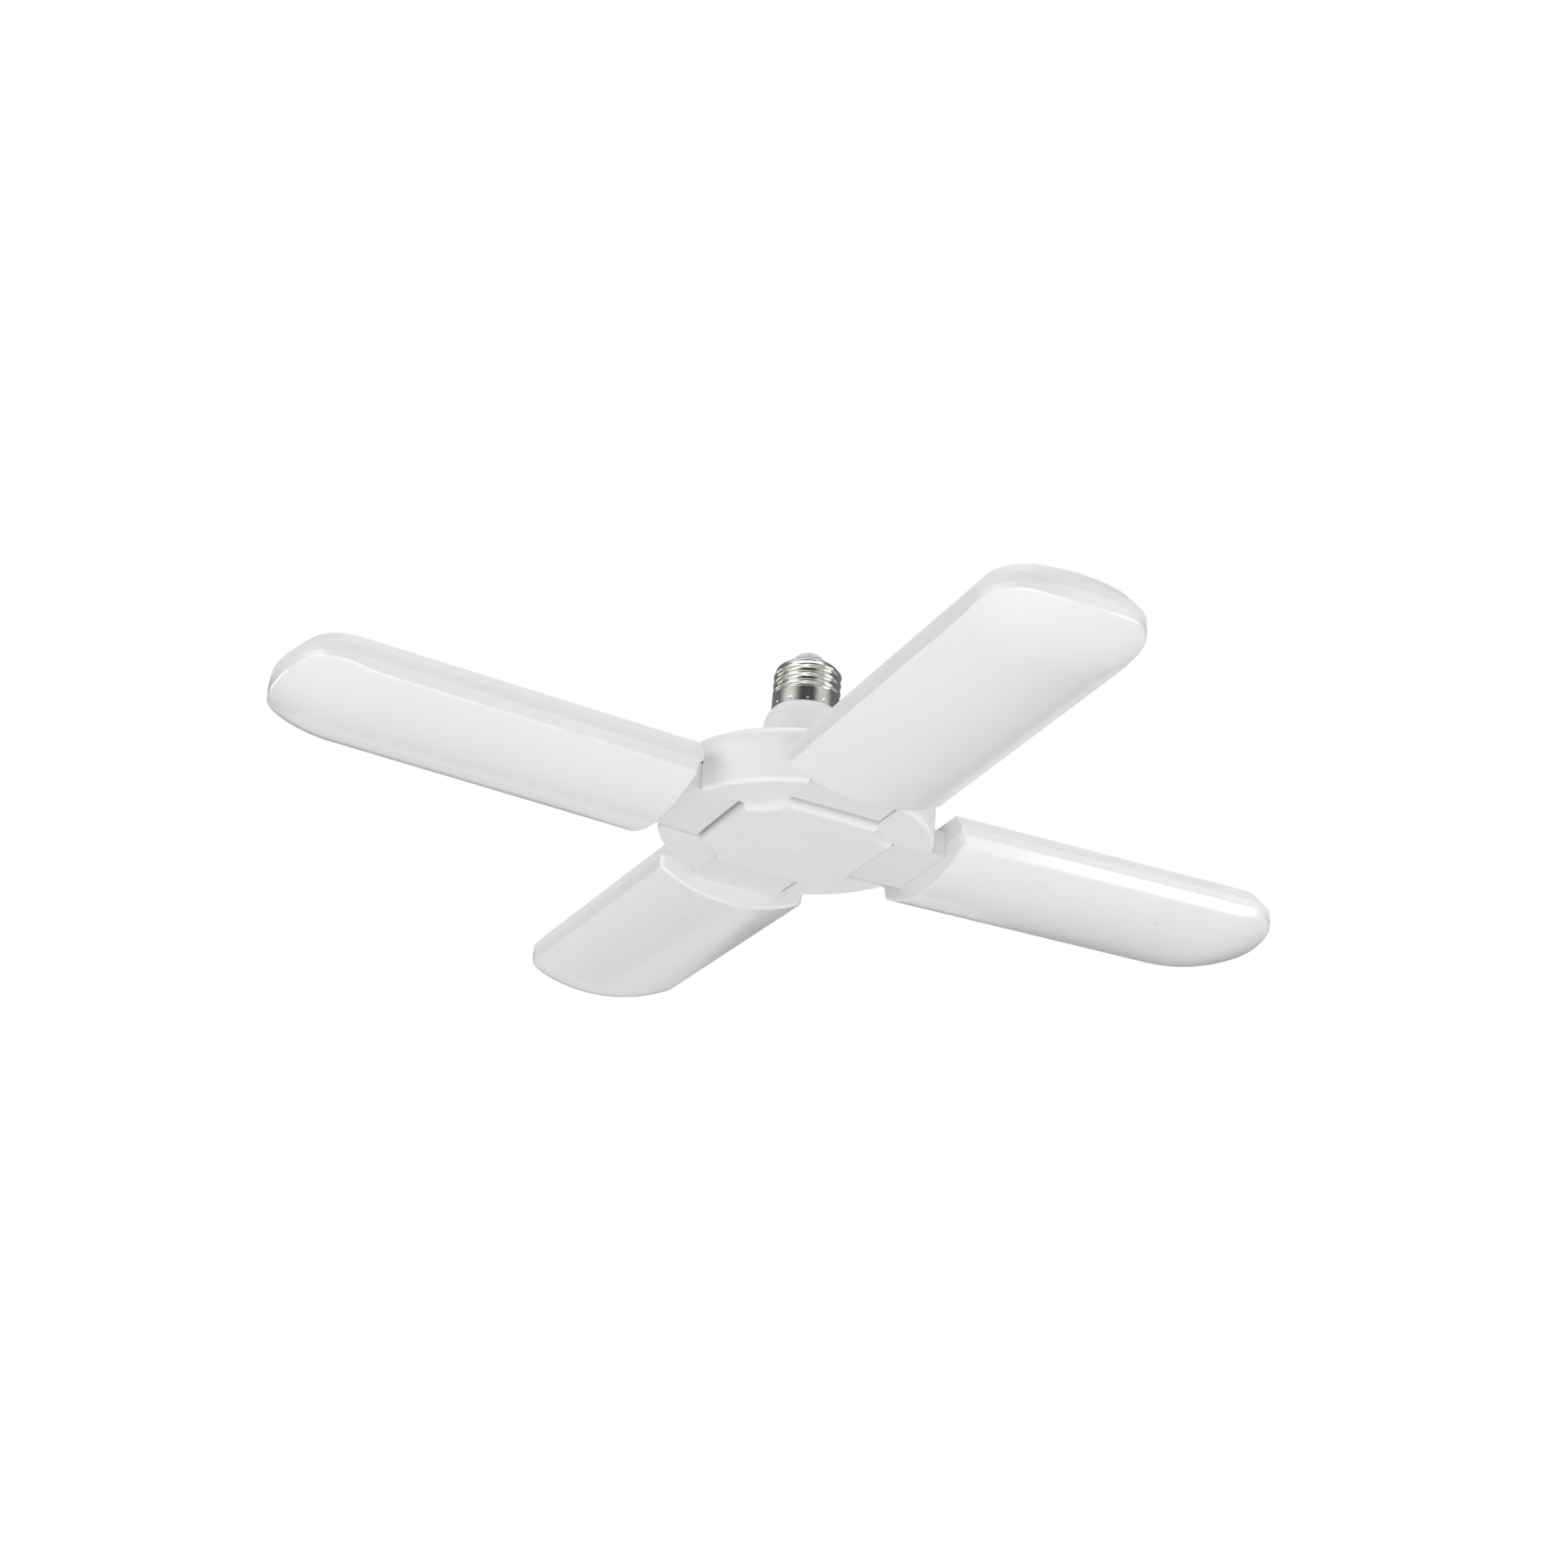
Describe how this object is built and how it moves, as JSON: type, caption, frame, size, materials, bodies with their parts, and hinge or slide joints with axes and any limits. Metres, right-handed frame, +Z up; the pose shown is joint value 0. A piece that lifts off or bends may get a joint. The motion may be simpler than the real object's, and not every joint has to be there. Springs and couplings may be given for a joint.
{
  "type": "deformable garage light",
  "caption": "Screw-in ceiling lamp with a round hub and folding light blades, each with a ribbed back cover and a domed milky diffuser, hinged to tilt down.",
  "frame": {"origin": "centre of the lower edge of the screw cap, on the lamp's axis", "axes": "+Z up along the screw cap, +X and +Y along two of the open blades"},
  "size_m": [0.415, 0.415, 0.0857],
  "materials": {
    "cap_metal": "polished nickel",
    "cap_insulation": "satin",
    "contact_metal": "satin",
    "housing": "satin white",
    "blade_tray": "matte white",
    "diffuser": "gloss milky",
    "screw_steel": "zinc plated",
    "pin_steel": "bright",
    "washer": "satin",
    "circuit_board": "solder mask",
    "led_board": "white solder mask",
    "led_chip": "phosphor",
    "capacitor_can": "sleeved",
    "choke": "enamelled wire",
    "component_case": "moulded",
    "film_case": "dipped"
  },
  "bodies": {
    "hub": {"bridge_rectifier": "component_case", "cap_insulator": "cap_insulation", "centre_contact": "contact_metal", "centre_panel": "housing", "choke_coil": "choke", "driver_board": "circuit_board", "driver_chip": "component_case", "driver_screws": "screw_steel", "film_capacitor": "film_case", "filter_capacitors": "capacitor_can", "hinge_pin_1": "pin_steel", "hinge_pin_2": "pin_steel", "hinge_pin_3": "pin_steel", "hinge_pin_4": "pin_steel", "hinge_washers_1": "washer", "hinge_washers_2": "washer", "hinge_washers_3": "washer", "hinge_washers_4": "washer", "housing_screws": "screw_steel", "lower_housing": "housing", "neck": "housing", "screw_shell": "cap_metal", "surge_absorber": "component_case", "upper_housing": "housing"},
    "blade_1": {"back_cover_1": "blade_tray", "diffuser_1": "diffuser", "led_board_1": "led_board", "led_board_screws_1": "screw_steel", "led_chips_1": "led_chip"},
    "blade_2": {"back_cover_2": "blade_tray", "diffuser_2": "diffuser", "led_board_2": "led_board", "led_board_screws_2": "screw_steel", "led_chips_2": "led_chip"},
    "blade_3": {"back_cover_3": "blade_tray", "diffuser_3": "diffuser", "led_board_3": "led_board", "led_board_screws_3": "screw_steel", "led_chips_3": "led_chip"},
    "blade_4": {"back_cover_4": "blade_tray", "diffuser_4": "diffuser", "led_board_4": "led_board", "led_board_screws_4": "screw_steel", "led_chips_4": "led_chip"}
  },
  "joints": [
    {"name": "blade_1_hinge", "type": "hinge", "parent": "hub", "child": "blade_1", "pos_m": [0.042, 0, -0.048], "axis": [0, 1, 0], "range_deg": [0, 90]},
    {"name": "blade_2_hinge", "type": "hinge", "parent": "hub", "child": "blade_2", "pos_m": [0, 0.042, -0.048], "axis": [-1, 0, 0], "range_deg": [0, 90]},
    {"name": "blade_3_hinge", "type": "hinge", "parent": "hub", "child": "blade_3", "pos_m": [-0.042, 0, -0.048], "axis": [0, -1, 0], "range_deg": [0, 90]},
    {"name": "blade_4_hinge", "type": "hinge", "parent": "hub", "child": "blade_4", "pos_m": [0, -0.042, -0.048], "axis": [1, 0, 0], "range_deg": [0, 90]}
  ]
}
